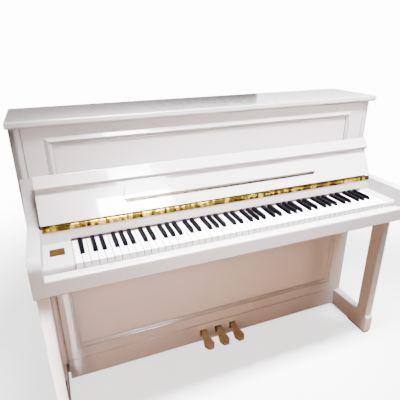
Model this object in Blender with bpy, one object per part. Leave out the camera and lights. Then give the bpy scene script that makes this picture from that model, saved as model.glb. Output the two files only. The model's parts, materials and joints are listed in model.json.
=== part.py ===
"""An upright piano, in metres: +X to the player's right, +Y into the piano, +Z up.

The origin is on the floor, at the middle of the whole object's box. The fallboard is open at rest.
Every sub-part is one closed solid, and touching sub-parts keep a gap of GAP between them.
"""

import math

import bmesh
import bpy
from mathutils import Matrix, Vector

GAP = 0.0003

# Whole object
DEPTH = 0.570
HEIGHT = 1.1085
FRONT = -DEPTH / 2
LID_HALF = 0.732
SIDE_HALF = 0.727
SIDE_INNER = 0.693
PILASTER_INNER = 0.673
PANEL_HALF = 0.671
PANEL_GAP = 0.002

# Depths, each measured back from the piano's front
KEY_FRONT = FRONT + 0.037
HINGE_Y = KEY_FRONT + 0.155
CASE_FRONT = KEY_FRONT + 0.263
UPPER_FACE = KEY_FRONT + 0.2635
LOWER_FACE = KEY_FRONT + 0.254
CASE_BACK = KEY_FRONT + 0.5262

# Heights
TOE_TOP = 0.100
KICK_LOW = 0.026
KICK_TOP = 0.120
KEYBED_LOW = 0.643
KEYBED_TOP = 0.668
WHITE_TOP = 0.720
BLACK_TOP = 0.732
ARM_TOP = 0.770
HINGE_Z = 0.778
LID_LOW = 1.0865

# Keyboard
WHITE_PITCH = 0.0235
KEY_GAP = 0.001
BLACK_WIDTH = 0.0130
BLACK_SLOT = 0.0140
BLACK_LENGTH = 0.095
KEY_LENGTH = 0.147
KEY_BACK = KEY_FRONT + 0.355
KEY_LOW = 0.698
BALANCE_Y = KEY_FRONT + 0.235
WHITE_KEYS = 52
KEYS_LEFT = -0.590
KEYS_RIGHT = KEYS_LEFT + WHITE_KEYS * WHITE_PITCH
ARM_INNER = 0.6815
ARM_OUTER = 0.720

# Fallboard: its lean when open, its length to the flap's pin, and the flap folded in front of it
BOARD_LEAN = math.radians(25.5)
BOARD_LENGTH = 0.167
BOARD_THICK = 0.018
BOARD_HALF = 0.678
FLAP_LEAN = math.radians(32.4)
FLAP_LENGTH = 0.048
FLAP_THICK = 0.014
KNUCKLE = 0.003

# Music shelf, folded against the fallboard
SHELF_FOOT = 0.052
SHELF_HEIGHT = 0.052
SHELF_HALF = 0.398
SHELF_THICK = 0.010
SHELF_KNUCKLE = 0.0012
SHELF_PIN = (SHELF_FOOT - 0.0015, 0.0015)

# Pedals and what they work
PEDAL_SPACING = 0.075
PEDAL_NAMES = ("left", "middle", "right")
PEDAL_PIVOT_Y = KEY_FRONT + 0.330
PEDAL_PIVOT_Z = 0.078
PEDAL_OVER = 0.005
DOWEL_Y = KEY_FRONT + 0.400
DOWEL_RADIUS = 0.006
DOWEL_TOP = 0.760
DAMPER_RAIL_Z = 0.845

# Inside, from the action back to the frame
ACTION_HALF = 0.640
HAMMERS_LEFT = -0.590
HAMMERS_RIGHT = 0.630
STRING_Y = KEY_FRONT + 0.446
PLATE_Y = KEY_FRONT + 0.452
BOARD_Y = KEY_FRONT + 0.476
FRAME_Y = KEY_FRONT + 0.488

WHITE = (0.86, 0.86, 0.87)
IVORY = (0.90, 0.90, 0.90)
BLACK = (0.015, 0.015, 0.017)
BRASS = (0.80, 0.58, 0.24)
FELT_RED = (0.22, 0.02, 0.03)
FELT_GREEN = (0.10, 0.25, 0.16)
SPRUCE = (0.74, 0.56, 0.34)
BEECH = (0.62, 0.45, 0.28)
IRON = (0.62, 0.47, 0.20)
STEEL = (0.55, 0.55, 0.57)


def clear_scene():
    for item in list(bpy.data.objects):
        bpy.data.objects.remove(item)


def material(name, colour, roughness, metallic):
    made = bpy.data.materials.new(name)
    made.use_nodes = True
    shader = made.node_tree.nodes["Principled BSDF"]
    shader.inputs["Base Color"].default_value = (*colour, 1.0)
    shader.inputs["Roughness"].default_value = roughness
    shader.inputs["Metallic"].default_value = metallic
    return made


def own_material(name, kind):
    """A material of the sub-part's own, in one of the piano's finishes."""
    finishes = {
        "lacquer": (WHITE, 0.12, 0.0),
        "ivory": (IVORY, 0.25, 0.0),
        "ebony": (BLACK, 0.35, 0.0),
        "brass": (BRASS, 0.25, 1.0),
        "red_felt": (FELT_RED, 0.95, 0.0),
        "green_felt": (FELT_GREEN, 0.95, 0.0),
        "spruce": (SPRUCE, 0.55, 0.0),
        "beech": (BEECH, 0.60, 0.0),
        "iron": (IRON, 0.45, 0.6),
        "steel": (STEEL, 0.30, 1.0),
    }
    return material(name + "_finish", *finishes[kind])


def object_from(name, mesh_maker, kind, origin=(0, 0, 0)):
    """Links a new object whose mesh is mesh_maker's, given in world metres, with its origin at origin."""
    mesh = bpy.data.meshes.new(name)
    mesh_maker.to_mesh(mesh)
    mesh_maker.free()
    mesh.transform(Matrix.Translation(-Vector(origin)))
    item = bpy.data.objects.new(name, mesh)
    item.location = origin
    bpy.context.scene.collection.objects.link(item)
    item.data.materials.append(own_material(name, kind))
    return item


def outward(maker):
    bmesh.ops.recalc_face_normals(maker, faces=maker.faces)
    return maker


def box_mesh(low, high):
    maker = bmesh.new()
    bmesh.ops.create_cube(maker, size=1.0)
    size = Vector(high) - Vector(low)
    middle = (Vector(high) + Vector(low)) / 2
    bmesh.ops.scale(maker, vec=size, verts=maker.verts)
    bmesh.ops.translate(maker, vec=middle, verts=maker.verts)
    return maker


def prism_mesh(outline, start, end, axis):
    """The outline, whose points lie across the axis, pulled from start to end along it.

    Across X the points are (y, z), and across Z they are (x, y).
    """
    place = {"X": lambda p, t: (t, p[0], p[1]), "Z": lambda p, t: (p[0], p[1], t)}[axis]
    maker = bmesh.new()
    first = [maker.verts.new(place(p, start)) for p in outline]
    face = maker.faces.new(first)
    pulled = bmesh.ops.extrude_face_region(maker, geom=[face])["geom"]
    moved = [v for v in pulled if isinstance(v, bmesh.types.BMVert)]
    along = Vector(place((0, 0), end)) - Vector(place((0, 0), start))
    bmesh.ops.translate(maker, vec=along, verts=moved)
    return outward(maker)


def ring_mesh(rings, back_y):
    """A board from nested rectangles, each (half width, low, high, y), from its outer edge in."""
    maker = bmesh.new()
    loops = []
    outer = rings[0]
    for half, low, high, y in [(outer[0], outer[1], outer[2], back_y), *rings]:
        corners = ((-half, y, low), (half, y, low), (half, y, high), (-half, y, high))
        loops.append([maker.verts.new(c) for c in corners])
    maker.faces.new(loops[0])
    maker.faces.new(loops[-1])
    for near, far in zip(loops, loops[1:]):
        for i in range(4):
            j = (i + 1) % 4
            maker.faces.new((near[i], near[j], far[j], far[i]))
    return outward(maker)


def arc(centre, radius, start, end, steps):
    """Points on a circle, from start to end degrees, both included."""
    angles = [math.radians(start + (end - start) * i / steps) for i in range(steps + 1)]
    return [(centre[0] + radius * math.cos(a), centre[1] + radius * math.sin(a)) for a in angles]


def bevel(item, width, segments=1):
    made = item.modifiers.new("edges", "BEVEL")
    made.width = width
    made.segments = segments
    made.limit_method = "ANGLE"
    made.angle_limit = math.radians(40)
    return item


def box(name, low, high, kind, edge=0.0):
    item = object_from(name, box_mesh(low, high), kind)
    return bevel(item, edge) if edge else item


def guide(name, maker):
    """An unseen solid that only joins or cuts another."""
    item = object_from(name, maker, "steel")
    item.hide_render = True
    item.display_type = "WIRE"
    return item


def combine(item, tools, operation):
    for tool in tools:
        made = item.modifiers.new(operation.lower(), "BOOLEAN")
        made.operation = operation
        made.solver = "EXACT"
        made.object = tool
    return item


def mirrored(pair, sign):
    """A pair of places in x, in rising order, on the left (-1) or the right (1)."""
    return sorted(sign * x for x in pair)


# ---- case ----------------------------------------------------------------------------------------


def side(name, sign):
    """A case side, with an upright groove down its front edge and a pilaster beside the lower panel."""
    groove = 0.0025
    groove_at = SIDE_HALF - 0.013
    depth = 0.006
    pilaster = 0.020
    back = CASE_BACK - PANEL_GAP
    outline = [
        (SIDE_INNER, CASE_FRONT),
        (groove_at - groove / 2, CASE_FRONT),
        (groove_at - groove / 2, CASE_FRONT + depth),
        (groove_at + groove / 2, CASE_FRONT + depth),
        (groove_at + groove / 2, CASE_FRONT),
        (SIDE_HALF, CASE_FRONT),
        (SIDE_HALF, back),
        (SIDE_INNER, back),
    ]
    outline = [(sign * x, y) for x, y in outline]
    item = object_from(name, prism_mesh(outline, TOE_TOP + GAP, LID_LOW - 0.001, "Z"), "lacquer")
    low, high = mirrored((PILASTER_INNER, SIDE_INNER + 0.004), sign)
    step = 0.0006
    near = (low, CASE_FRONT + step, TOE_TOP + GAP + step)
    strip = box_mesh(near, (high, CASE_FRONT + pilaster, KEYBED_LOW - 0.002))
    combine(item, [guide(f"{name}_pilaster", strip)], "UNION")


def arm(name, sign):
    """A key arm: rounded at its front, and swept up at its back into a cheek beside the fallboard."""
    nose, chamfer, sweep = 0.034, 0.004, 0.030
    cheek_foot = KEY_FRONT + 0.180
    cheek_slope = [(KEY_FRONT + 0.226, ARM_TOP + 0.058), (KEY_FRONT + 0.244, ARM_TOP + 0.090)]
    back = CASE_FRONT - GAP
    cheek_top = ARM_TOP + 0.148
    outline = [(back, KEYBED_LOW), (FRONT + chamfer, KEYBED_LOW), (FRONT, KEYBED_LOW + chamfer)]
    outline += arc((FRONT + nose, ARM_TOP - nose), nose, 180, 90, 5)
    outline += arc((cheek_foot, ARM_TOP + sweep), sweep, 270, 328, 3)
    outline += [*cheek_slope, (back, cheek_top)]
    low, high = mirrored((ARM_INNER, ARM_OUTER), sign)
    object_from(name, prism_mesh(outline, low, high, "X"), "lacquer")


def leg(name, sign):
    """A square front leg between the toe and the arm."""
    low, high = mirrored((ARM_INNER, ARM_OUTER), sign)
    front = KEY_FRONT + 0.036
    depth = 0.059
    bottom = TOE_TOP + GAP
    top = KEYBED_LOW - GAP
    box(name, (low, front, bottom), (high, front + depth, top), "lacquer", 0.002)


def toe(name, sign):
    """The foot that runs from the front leg back under the side, with a pad at each end and one between."""
    relief, nose = 0.010, 0.012
    front = KEY_FRONT + 0.026
    front_pad, middle_pad, rear_pad = 0.124, 0.030, 0.080
    middle = KEY_FRONT + 0.270
    back = CASE_BACK - PANEL_GAP
    outline = [
        (front, 0.0),
        (front + front_pad, 0.0),
        (front + front_pad + 0.002, relief),
        (middle, relief),
        (middle, 0.0),
        (middle + middle_pad, 0.0),
        (middle + middle_pad, relief),
        (back - rear_pad, relief),
        (back - rear_pad, 0.0),
        (back, 0.0),
        (back, TOE_TOP),
        (front + nose, TOE_TOP),
        (front, TOE_TOP - nose),
    ]
    low, high = mirrored((ARM_INNER, ARM_OUTER), sign)
    object_from(name, prism_mesh(outline, low, high, "X"), "lacquer")


def bottom_board():
    """The floor of the case, which carries the pedals."""
    half = ARM_INNER - 0.001
    low = (-half, LOWER_FACE + 0.024, 0.040)
    high = (half, FRAME_Y - 0.004, 0.062)
    box("bottom_board", low, high, "beech")


def kick_rail():
    """The low front rail, with a slot for each pedal."""
    face = LOWER_FACE - 0.001
    thick = 0.022
    slot_half, slot_low, slot_high = 0.0155, 0.0535, 0.0900
    low = (-PANEL_HALF, face, KICK_LOW)
    item = box("kick_rail", low, (PANEL_HALF, face + thick, KICK_TOP), "lacquer")
    cutters = []
    for i in range(3):
        x = (i - 1) * PEDAL_SPACING
        low = (x - slot_half, face - thick, slot_low)
        high = (x + slot_half, face + 2 * thick, slot_high)
        cutters.append(guide(f"pedal_slot_{i}", box_mesh(low, high)))
    combine(item, cutters, "DIFFERENCE")


def framed_panel(name, half, low, high, face, moulding, thick):
    """A flat panel with a raised rectangular moulding round a slightly sunk field.

    moulding is its outer half width, its lowest and its highest edge.
    """
    outer, under, over = moulding
    steps = ((0.0, 0.0), (0.003, 0.006), (0.011, 0.007), (0.022, -0.001), (0.026, -0.003))
    edge = 0.003
    rings = [(half, low, high, face + edge)]
    rings.append((half - edge, low + edge, high - edge, face))
    for inset, proud in steps:
        rings.append((outer - inset, under + inset, over - inset, face - proud))
    object_from(name, ring_mesh(rings, face + thick), "lacquer")


def panels():
    thick = 0.018
    half, high = SIDE_INNER - PANEL_GAP, LID_LOW - PANEL_GAP
    framed_panel("upper_panel", half, 0.790, high, UPPER_FACE, (0.626, 0.830, 1.0475), thick)
    low, high = KICK_TOP + 0.001, KEYBED_LOW - PANEL_GAP
    framed_panel("lower_panel", PANEL_HALF, low, high, LOWER_FACE, (0.630, 0.170, 0.600), thick)


def top_lid():
    low = (-LID_HALF, CASE_FRONT - 0.022, LID_LOW)
    box("top_lid", low, (LID_HALF, CASE_BACK, HEIGHT), "lacquer", 0.0025)


def lid_hinge():
    """The long hinge behind the lid: one leaf on the back of the case, and the knuckle above it."""
    axis = (CASE_BACK + 0.0035, LID_LOW)
    half = 0.690
    leaf, leaf_low, neck = 0.0012, LID_LOW - 0.0245, LID_LOW - 0.0065
    outline = arc(axis, KNUCKLE + GAP, 180, -90, 9)
    outline += [(axis[0], leaf_low), (axis[0] - leaf, leaf_low), (axis[0] - leaf, neck)]
    outline.append((axis[0] - KNUCKLE, LID_LOW - KNUCKLE))
    object_from("lid_hinge", prism_mesh(outline, -half, half, "X"), "brass")


# ---- inside --------------------------------------------------------------------------------------


def back_frame():
    """The wooden back: a top and a bottom beam joined by five posts."""
    half = SIDE_INNER - 0.001
    low, high = TOE_TOP + 0.002, 1.080
    top_beam, bottom_beam = 0.150, 0.110
    posts, post = 5, 0.075
    item = box("back_frame", (-half, FRAME_Y, low), (half, CASE_BACK - PANEL_GAP, high), "beech")
    bay = (2 * half - posts * post) / (posts - 1)
    cutters = []
    for i in range(posts - 1):
        x = -half + post + i * (bay + post)
        corner = (x, FRAME_Y - 0.02, low + bottom_beam)
        far = (x + bay, CASE_BACK + 0.02, high - top_beam)
        cutters.append(guide(f"bay_{i}", box_mesh(corner, far)))
    combine(item, cutters, "DIFFERENCE")


def soundboard():
    box("soundboard", (-0.690, BOARD_Y, 0.104), (0.690, BOARD_Y + 0.008, 0.985), "spruce")


def iron_plate():
    """The cast plate: a solid pin field at the top, bars below it, and a strip at the foot."""
    half, thick = 0.686, 0.014
    item = box("iron_plate", (-half, PLATE_Y, 0.110), (half, PLATE_Y + thick, 1.070), "iron")
    margin = 0.030
    bars, bar = 10, 0.022
    bay = (2 * (half - margin) - bars * bar) / (bars + 1)
    bay_low, bay_high = 0.260, 0.900
    cutters = []
    for i in range(bars + 1):
        x = -half + margin + i * (bay + bar)
        low = (x, PLATE_Y - thick, bay_low)
        high = (x + bay, PLATE_Y + 2 * thick, bay_high)
        cutters.append(guide(f"plate_bay_{i}", box_mesh(low, high)))
    combine(item, cutters, "DIFFERENCE")


def strings():
    """The plane of strings, as one thin sheet."""
    box("strings", (-0.640, STRING_Y - 0.001, 0.180), (0.640, STRING_Y + 0.001, 0.975), "steel")


def keybed():
    low = (-ARM_INNER + GAP, KEY_FRONT - 0.001, KEYBED_LOW)
    box("keybed", low, (ARM_INNER - GAP, KEY_FRONT + 0.378, KEYBED_TOP), "beech")


def balance_rail():
    """The rail that every key rocks on."""
    half = 0.012
    low = (KEYS_LEFT, BALANCE_Y - half, KEYBED_TOP + GAP)
    box("balance_rail", low, (KEYS_RIGHT, BALANCE_Y + half, KEY_LOW - 2 * GAP), "beech")


def action_frame():
    """Three cast brackets that stand behind the keys and carry the main rail."""
    low = KEYBED_TOP + GAP
    front = KEY_BACK + 0.006
    back = front + 0.014
    half = 0.006
    rail = box_mesh((-ACTION_HALF, front - 0.030, 0.775), (ACTION_HALF, front - 0.004, 0.815))
    item = object_from("action_frame", rail, "beech")
    tools = []
    for i in range(3):
        x = (i - 1) * (ACTION_HALF - 0.008)
        foot = box_mesh((x - half, front, low), (x + half, back, 0.800))
        arm_piece = box_mesh((x - half, front - 0.020, 0.780), (x + half, back, 0.810))
        tools.append(guide(f"bracket_foot_{i}", foot))
        tools.append(guide(f"bracket_arm_{i}", arm_piece))
    combine(item, tools, "UNION")


def hammers():
    """The row of hammers, as one solid of their outer shape, leaning on the rest rail."""
    butt, low = KEY_FRONT + 0.350, 0.8185
    outline = [
        (butt - 0.012, low),
        (butt + 0.004, low),
        (butt + 0.014, low + 0.1075),
        (butt + 0.046, low + 0.1035),
        (butt + 0.048, low + 0.1255),
        (butt, low + 0.1295),
    ]
    object_from("hammers", prism_mesh(outline, HAMMERS_LEFT, HAMMERS_RIGHT, "X"), "red_felt")


def pedal_rails():
    """The three rails that the pedals move: hammer rest, muffler and damper lift."""
    left, right = HAMMERS_LEFT - 0.010, HAMMERS_RIGHT + 0.010
    hammer_y = KEY_FRONT + 0.318
    low = (left, hammer_y, 0.872)
    box("hammer_rest_rail", low, (right, hammer_y + 0.018, 0.902), "green_felt")
    muffler_y = KEY_FRONT + 0.422
    low = (left, muffler_y, 0.985)
    box("muffler_rail", low, (right, muffler_y + 0.006, 1.030), "green_felt")
    thick = 0.010
    damper_y = DOWEL_Y - thick / 2
    low = (left, damper_y, DAMPER_RAIL_Z)
    box("damper_lift_rail", low, (right, damper_y + thick, DAMPER_RAIL_Z + thick), "steel")


# ---- keyboard ------------------------------------------------------------------------------------


def key_slip():
    """The rail in front of the keys, with a rounded upper front edge and a chamfer below."""
    top = 0.700
    front = FRONT + 0.001
    radius, chamfer = 0.010, 0.003
    back = KEY_FRONT - 0.0035
    outline = [(back, KEYBED_LOW), (front + chamfer, KEYBED_LOW), (front, KEYBED_LOW + chamfer)]
    outline += arc((front + radius, top - 0.002 - radius), radius, 180, 100, 4)
    outline += [(back, top)]
    half = ARM_INNER - GAP
    object_from("key_slip", prism_mesh(outline, -half, half, "X"), "lacquer")


def key_block(name, low, high):
    """A cheek block that fills the space between the last key and the arm."""
    radius = 0.010
    front = KEY_FRONT + 0.003
    back = HINGE_Y - 0.0015 - GAP
    bottom = KEYBED_TOP + GAP
    outline = [(back, bottom), (front, bottom)]
    outline += arc((front + radius, WHITE_TOP - radius), radius, 180, 90, 4)
    outline += [(back, WHITE_TOP)]
    object_from(name, prism_mesh(outline, low, high, "X"), "lacquer")


def key_blocks():
    key_block("key_block_left", -ARM_INNER + GAP, KEYS_LEFT - 0.001)
    key_block("key_block_right", KEYS_RIGHT + 0.001, ARM_INNER - GAP)
    low = (-0.661, KEY_FRONT + 0.066, WHITE_TOP + GAP)
    high = (-0.614, KEY_FRONT + 0.110, WHITE_TOP + 0.0018)
    box("blank_plate", low, high, "brass", 0.0004)


def name_rail():
    """The upright rail behind the keys that carries the fallboard's hinge, and its felt strip.

    The rail is notched over the keys, and its ends stand behind the key blocks.
    """
    face, thick = HINGE_Y - 0.0015, 0.016
    half = ARM_INNER - GAP
    under = WHITE_TOP + 0.0070
    item = box("name_rail", (-half, face, KEY_LOW), (half, face + thick, HINGE_Z - 0.0075), "lacquer")
    low = (KEYS_LEFT - KEY_GAP, face - thick, KEY_LOW - thick)
    notch = box_mesh(low, (KEYS_RIGHT + KEY_GAP, face + 2 * thick, under))
    combine(item, [guide("name_rail_notch", notch)], "DIFFERENCE")
    felt_y = KEY_FRONT + KEY_LENGTH + 2 * GAP
    low = (KEYS_LEFT, felt_y, WHITE_TOP + 0.0012)
    box("nameboard_felt", low, (KEYS_RIGHT, felt_y + 0.0050, under - 0.0004), "red_felt")


def tail_edges():
    """Where each white key's tail starts and ends within an octave, and each black key's middle."""
    groups = ((0, 3), (3, 4))
    tails, blacks = [], []
    for first, count in groups:
        tail = (count * WHITE_PITCH - (count - 1) * BLACK_SLOT) / count
        for i in range(count):
            start = first * WHITE_PITCH + i * (tail + BLACK_SLOT)
            tails.append((start, start + tail))
            if i < count - 1:
                blacks.append(start + tail + BLACK_SLOT / 2)
    return tails, blacks


WHITE_NAMES = ("C", "D", "E", "F", "G", "A", "B")
BLACK_NAMES = ("Cs", "Ds", "Fs", "Gs", "As")
OCTAVE = 7 * WHITE_PITCH


def octave_start(octave):
    """Where the octave's C would start; the keyboard starts two white keys before the first C."""
    return KEYS_LEFT + 2 * WHITE_PITCH + (octave - 1) * OCTAVE


def white_outline(octave, index):
    """A white key from above: a full-width head, and a tail between its black neighbours."""
    tails = tail_edges()[0]
    start = octave_start(octave)
    left = start + index * WHITE_PITCH
    right = left + WHITE_PITCH
    tail_left, tail_right = (start + edge for edge in tails[index])
    if (octave, index) == (0, 5):
        tail_left = left
    if octave == 8:
        tail_right = right
    half = KEY_GAP / 2
    left, right = left + half, right - half
    tail_left, tail_right = tail_left + half, tail_right - half
    notch = KEY_FRONT + KEY_LENGTH - BLACK_LENGTH - 0.0015
    outline = [(left, KEY_FRONT), (right, KEY_FRONT)]
    if tail_right < right:
        outline += [(right, notch), (tail_right, notch)]
    outline += [(tail_right, KEY_BACK), (tail_left, KEY_BACK)]
    if tail_left > left:
        outline += [(tail_left, notch), (left, notch)]
    return outline


def white_key_mesh(octave, index):
    return prism_mesh(white_outline(octave, index), KEY_LOW, WHITE_TOP, "Z")


def black_key_mesh(octave, index):
    """A black key: a lever under the name rail, and a raised cap with a sloped front."""
    middle = octave_start(octave) + tail_edges()[1][index]
    half = BLACK_WIDTH / 2
    back = KEY_FRONT + KEY_LENGTH - 0.002
    front = KEY_FRONT + KEY_LENGTH - BLACK_LENGTH
    outline = [
        (front, KEY_LOW),
        (KEY_BACK, KEY_LOW),
        (KEY_BACK, WHITE_TOP),
        (back, WHITE_TOP),
        (back, BLACK_TOP),
        (front + 0.006, BLACK_TOP),
        (front, WHITE_TOP - 0.001),
    ]
    return prism_mesh(outline, middle - half, middle + half, "X")


def key_pivot(x):
    return (x, BALANCE_Y, KEY_LOW)


def single_keys(octave):
    """An octave whose twelve keys are sub-parts of their own."""
    for i, note in enumerate(WHITE_NAMES):
        x = octave_start(octave) + (i + 0.5) * WHITE_PITCH
        object_from(f"key_{note}{octave}", white_key_mesh(octave, i), "ivory", key_pivot(x))
    for i, note in enumerate(BLACK_NAMES):
        x = octave_start(octave) + tail_edges()[1][i]
        object_from(f"key_{note}{octave}", black_key_mesh(octave, i), "ebony", key_pivot(x))


def key_group(name, whites, blacks):
    """Keys that share one sub-part: their levers run into one bar at the back."""
    makers = [white_key_mesh(*key) for key in whites]
    makers += [black_key_mesh(*key) for key in blacks]
    edges = [v.co.x for maker in makers for v in maker.verts]
    low = (min(edges), KEY_BACK - 0.030, KEY_LOW - 0.004)
    bar = box_mesh(low, (max(edges), KEY_BACK - 0.004, WHITE_TOP + 0.003))
    item = object_from(name, bar, "ivory", key_pivot((min(edges) + max(edges)) / 2))
    tools = [guide(f"{name}_{i}", maker) for i, maker in enumerate(makers)]
    combine(item, tools, "UNION")


SINGLE_OCTAVE = 4


def keyboard():
    single_keys(SINGLE_OCTAVE)
    for octave in (1, 2, 3, 5, 6, 7):
        whites = [(octave, i) for i in range(7)]
        blacks = [(octave, i) for i in range(5)]
        if octave == 1:
            whites += [(0, 5), (0, 6)]
            blacks += [(0, 4)]
        if octave == 7:
            whites += [(8, 0)]
        key_group(f"keys_octave_{octave}", whites, blacks)


# ---- fallboard -----------------------------------------------------------------------------------


def on_board(along, out):
    """(y, z) of a point on the open fallboard: along it from its hinge, and out towards the player."""
    sin, cos = math.sin(BOARD_LEAN), math.cos(BOARD_LEAN)
    return (HINGE_Y + along * sin - out * cos, HINGE_Z + along * cos + out * sin)


def on_flap(down, out):
    """(y, z) of a point on the folded flap: down it from its pin, and out towards the player."""
    pin_y, pin_z = on_board(BOARD_LENGTH, 0.0)
    sin, cos = math.sin(FLAP_LEAN), math.cos(FLAP_LEAN)
    return (pin_y - down * sin - out * cos, pin_z - down * cos + out * sin)


def fallboard():
    edge = 0.003
    start = KNUCKLE + 0.0015
    end = BOARD_LENGTH - 0.003
    outline = [
        on_board(start, 0.0),
        on_board(end, 0.0),
        on_board(end, -BOARD_THICK + edge),
        on_board(end - edge, -BOARD_THICK),
        on_board(start, -BOARD_THICK),
    ]
    mesh = prism_mesh(outline, -BOARD_HALF, BOARD_HALF, "X")
    object_from("fallboard", mesh, "lacquer", (0, HINGE_Y, HINGE_Z))


def fallboard_flap():
    edge = 0.003
    start = 0.0020
    outline = [
        on_flap(start, 0.0006),
        on_flap(FLAP_LENGTH, 0.0006),
        on_flap(FLAP_LENGTH, FLAP_THICK - edge),
        on_flap(FLAP_LENGTH - edge, FLAP_THICK),
        on_flap(-0.001 + edge, FLAP_THICK),
        on_flap(-0.001, FLAP_THICK - edge),
        on_flap(-0.001, 0.0042),
        on_flap(start, 0.0030),
    ]
    mesh = prism_mesh(outline, -BOARD_HALF, BOARD_HALF, "X")
    pin_y, pin_z = on_board(BOARD_LENGTH, 0.0)
    object_from("fallboard_flap", mesh, "lacquer", (0, pin_y, pin_z))


def fallboard_hinge():
    """The long brass hinge under the fallboard: a leaf on the name rail and the knuckle above it."""
    axis = (HINGE_Y, HINGE_Z)
    leaf = 0.0012
    lean = math.degrees(math.acos((KNUCKLE - leaf) / KNUCKLE))
    outline = arc(axis, KNUCKLE, 180, -180 + lean, 9)
    outline += [(HINGE_Y - KNUCKLE + leaf, 0.7620), (HINGE_Y - KNUCKLE, 0.7620)]
    object_from("fallboard_hinge", prism_mesh(outline, -0.675, 0.675, "X"), "brass")


def music_shelf():
    """The ledge that folds out of the fallboard's face to hold sheet music, hinged at its foot."""
    radius = 0.016
    taper = 0.008
    top = SHELF_HEIGHT
    corner = (SHELF_HALF - taper - radius, top - radius)
    half = [(SHELF_HALF, 0.0)] + arc(corner, radius, 0, 90, 4)
    outline = half + [(-x, z) for x, z in reversed(half)]
    maker = bmesh.new()
    out = 0.0005
    foot = SHELF_FOOT + out
    layers = []
    for depth in (out, out + SHELF_THICK):
        places = [(x, *on_board(foot + up, depth)) for x, up in outline]
        layers.append([maker.verts.new(p) for p in places])
    maker.faces.new(layers[0])
    maker.faces.new(layers[1])
    for i in range(len(outline)):
        j = (i + 1) % len(outline)
        maker.faces.new((layers[0][i], layers[0][j], layers[1][j], layers[1][i]))
    object_from("music_shelf", outward(maker), "lacquer", (0, *on_board(*SHELF_PIN)))


def music_shelf_hinge():
    """The thin brass hinge along the foot of the music shelf: its knuckle, and a leaf below it."""
    along, out = SHELF_PIN
    half = SHELF_HALF - 0.006
    leaf, leaf_top = 0.0011, along - SHELF_KNUCKLE * 0.85
    leaf_low = along - 0.0055
    points = [(leaf_low, GAP), (leaf_low, leaf), (leaf_top, leaf)]
    points += arc(SHELF_PIN, SHELF_KNUCKLE, 160, -90, 10)
    outline = [on_board(*p) for p in points]
    object_from("music_shelf_hinge", prism_mesh(outline, -half, half, "X"), "brass")


# ---- pedals --------------------------------------------------------------------------------------


def pedal(name, x):
    """A brass pedal lever: a thin arm through the rail, and a wide tip with clipped corners."""
    back, tip = DOWEL_Y + 0.012, KEY_FRONT + 0.152
    shoulder, bend = KEY_FRONT + 0.240, KEY_FRONT + 0.252
    arm_half, tip_half, clip, corner = 0.011, 0.0255, 0.013, 0.022
    outline = [
        (x - arm_half, back),
        (x - arm_half, shoulder),
        (x - tip_half, tip + corner),
        (x - tip_half + clip, tip),
        (x + tip_half - clip, tip),
        (x + tip_half, tip + corner),
        (x + arm_half, shoulder),
        (x + arm_half, back),
    ]
    maker = prism_mesh(outline, PEDAL_PIVOT_Z - 0.007, PEDAL_PIVOT_Z + PEDAL_OVER, "Z")
    droop = 0.12
    for vertex in maker.verts:
        vertex.co.z -= droop * max(0.0, bend - vertex.co.y)
    item = object_from(name, maker, "brass", (x, PEDAL_PIVOT_Y, PEDAL_PIVOT_Z))
    bevel(item, 0.0025)


def dowel(name, x, top):
    """The wooden rod that stands on the back of a pedal."""
    outline = arc((x, DOWEL_Y), DOWEL_RADIUS, 0, 324, 9)
    low = PEDAL_PIVOT_Z + PEDAL_OVER + 0.001
    object_from(name, prism_mesh(outline, low, top, "Z"), "beech", (x, DOWEL_Y, low))


def pedals():
    for i, word in enumerate(PEDAL_NAMES):
        x = (i - 1) * PEDAL_SPACING
        pedal(f"pedal_{word}", x)
        top = DAMPER_RAIL_Z - 0.001 if word == "right" else DOWEL_TOP
        dowel(f"pedal_rod_{word}", x, top)


def build():
    clear_scene()
    for word, sign in (("left", -1), ("right", 1)):
        side(f"side_{word}", sign)
        arm(f"arm_{word}", sign)
        leg(f"leg_{word}", sign)
        toe(f"toe_{word}", sign)
    bottom_board()
    kick_rail()
    panels()
    top_lid()
    lid_hinge()
    back_frame()
    soundboard()
    iron_plate()
    strings()
    keybed()
    balance_rail()
    action_frame()
    hammers()
    pedal_rails()
    key_slip()
    key_blocks()
    name_rail()
    keyboard()
    fallboard()
    fallboard_flap()
    fallboard_hinge()
    music_shelf()
    music_shelf_hinge()
    pedals()


build()
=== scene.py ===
"""The looks of an upright piano, in metres: +X to the player's right, +Y into the piano, +Z up.

Each piece stands for a sub-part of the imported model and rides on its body. Places come from the
sub-parts' own boxes, so that the pieces lie where the solids do.
"""

import json
import math

import bmesh
import bpy
from mathutils import Matrix, Vector


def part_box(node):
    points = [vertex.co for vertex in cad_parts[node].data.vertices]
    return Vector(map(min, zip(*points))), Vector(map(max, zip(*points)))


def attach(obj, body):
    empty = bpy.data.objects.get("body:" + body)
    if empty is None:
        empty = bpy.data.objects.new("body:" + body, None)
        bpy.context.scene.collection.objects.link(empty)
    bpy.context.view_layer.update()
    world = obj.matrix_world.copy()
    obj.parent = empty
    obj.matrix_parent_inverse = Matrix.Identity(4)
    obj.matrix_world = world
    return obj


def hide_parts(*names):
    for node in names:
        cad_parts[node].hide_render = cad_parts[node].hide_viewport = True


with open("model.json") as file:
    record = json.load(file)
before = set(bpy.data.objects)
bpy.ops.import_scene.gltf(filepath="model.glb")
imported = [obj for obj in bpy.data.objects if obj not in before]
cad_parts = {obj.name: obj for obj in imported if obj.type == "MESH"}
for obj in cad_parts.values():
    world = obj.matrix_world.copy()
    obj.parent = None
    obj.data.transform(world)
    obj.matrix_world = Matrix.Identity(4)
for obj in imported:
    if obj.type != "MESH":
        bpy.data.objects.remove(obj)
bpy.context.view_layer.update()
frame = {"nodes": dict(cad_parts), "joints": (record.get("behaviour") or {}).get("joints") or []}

# ---- places, read from the model ----


def low_of(node):
    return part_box(node)[0]


def high_of(node):
    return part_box(node)[1]


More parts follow.
